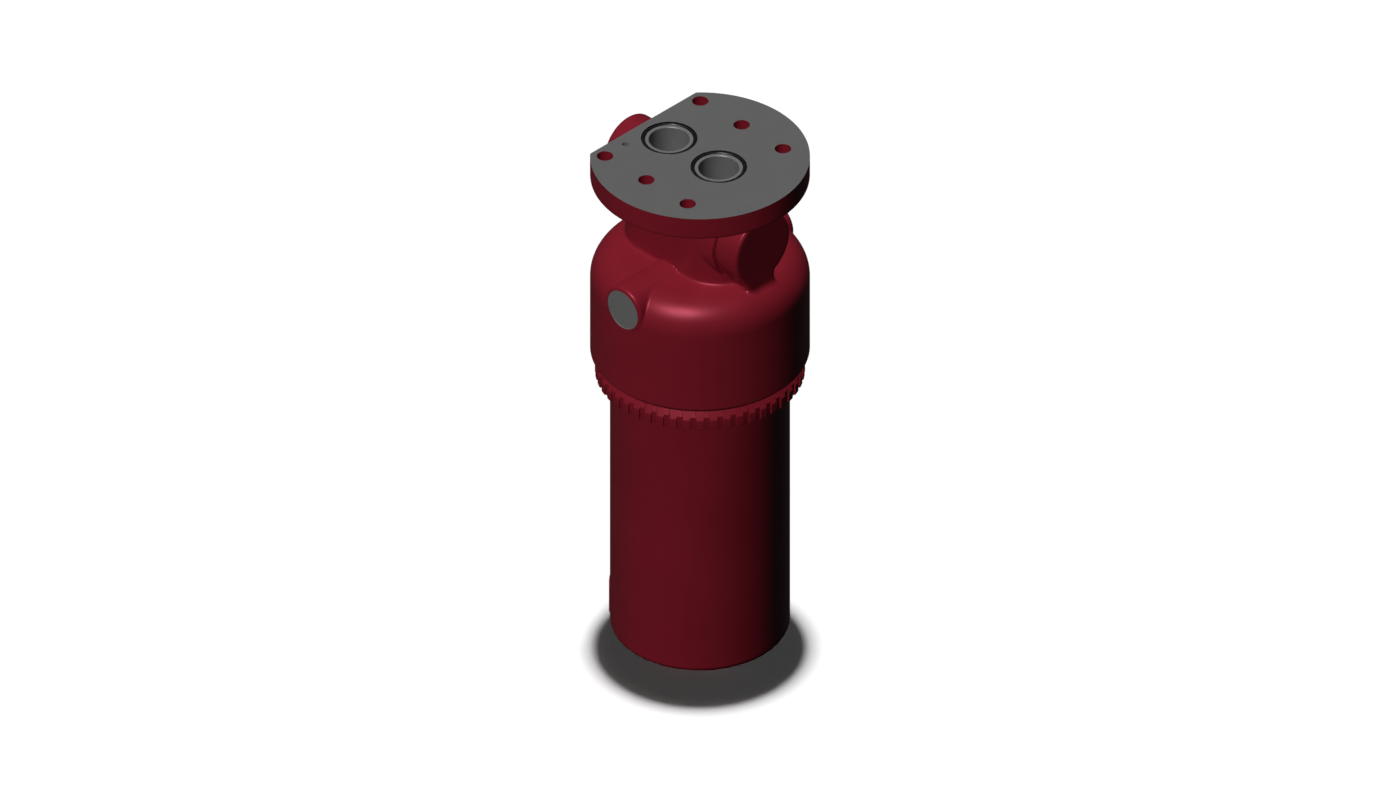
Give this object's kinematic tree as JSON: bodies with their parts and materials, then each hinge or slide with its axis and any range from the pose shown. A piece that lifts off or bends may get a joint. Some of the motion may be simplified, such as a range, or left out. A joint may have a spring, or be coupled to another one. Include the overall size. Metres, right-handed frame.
{
  "type": "hydraulic pressure filter",
  "caption": "Flange-mounted hydraulic pressure filter: cast head with top ports, screw-in bowl with a serrated collar, pleated element and bypass valve.",
  "frame": {"origin": "centre of the bolt pattern on the flange's machined mounting face", "axes": "+Z out of the mounting face, away from the bowl; +X along the port line, from the outlet port to the inlet port and its boss; the bowl's axis is parallel to Z at x = 6.2 mm"},
  "size_m": [0.16, 0.16, 0.4375],
  "materials": {
    "red_paint": "smooth satin red enamel on cast iron; the mounting face, ports and indicator faces are bare machined grey",
    "bare_plate": "thin plate painted over with the bowl",
    "seal_rubber": "matt black nitrile rubber",
    "backup_plastic": "off-white fluoropolymer",
    "plated_steel": "turned and zinc plated",
    "valve_steel": "ground steel",
    "spring_steel": "drawn spring wire",
    "tinned_sheet": "tinned steel sheet",
    "filter_media": "pleated glass fibre and paper",
    "seal_copper": "annealed copper washer"
  },
  "bodies": {
    "head": {"filter_head": "red_paint", "inlet_port_o_ring": "seal_rubber", "outlet_port_o_ring": "seal_rubber", "element_top_cap": "tinned_sheet", "element_bottom_cap": "tinned_sheet", "element_core_tube": "tinned_sheet", "element_pleats": "filter_media", "element_outer_wrap": "tinned_sheet", "element_o_ring": "seal_rubber", "bypass_seat": "valve_steel", "bypass_spring": "spring_steel", "bypass_plug": "plated_steel", "bypass_plug_seal": "seal_copper"},
    "bypass_valve": {"bypass_poppet": "valve_steel"},
    "bowl_seals": {"bowl_o_ring": "seal_rubber", "bowl_backup_ring": "backup_plastic"},
    "bowl": {"filter_bowl": "red_paint", "type_plate": "bare_plate", "drain_plug": "plated_steel", "drain_plug_seal": "seal_copper"}
  },
  "joints": [
    {"name": "bowl_drop", "type": "slide", "parent": "head", "child": "bowl_seals", "axis": [0, 0, -1], "range_m": [0, 0.021]},
    {"name": "bowl_turn", "type": "hinge", "parent": "bowl_seals", "child": "bowl", "pos_m": [0.0062, 0, -0.2], "axis": [0, 0, -1], "range_deg": [0, 2520]},
    {"name": "bypass_open", "type": "slide", "parent": "head", "child": "bypass_valve", "axis": [-1, 0, 0], "range_m": [0, 0.004], "stiffness_N_per_m": 4000, "springref_m": -0.0118, "deforming": ["bypass_spring"]}
  ],
  "couplings": [
    {"joint": "bowl_drop", "follows": "bowl_turn", "m_per_rad": 0.00047746}
  ]
}
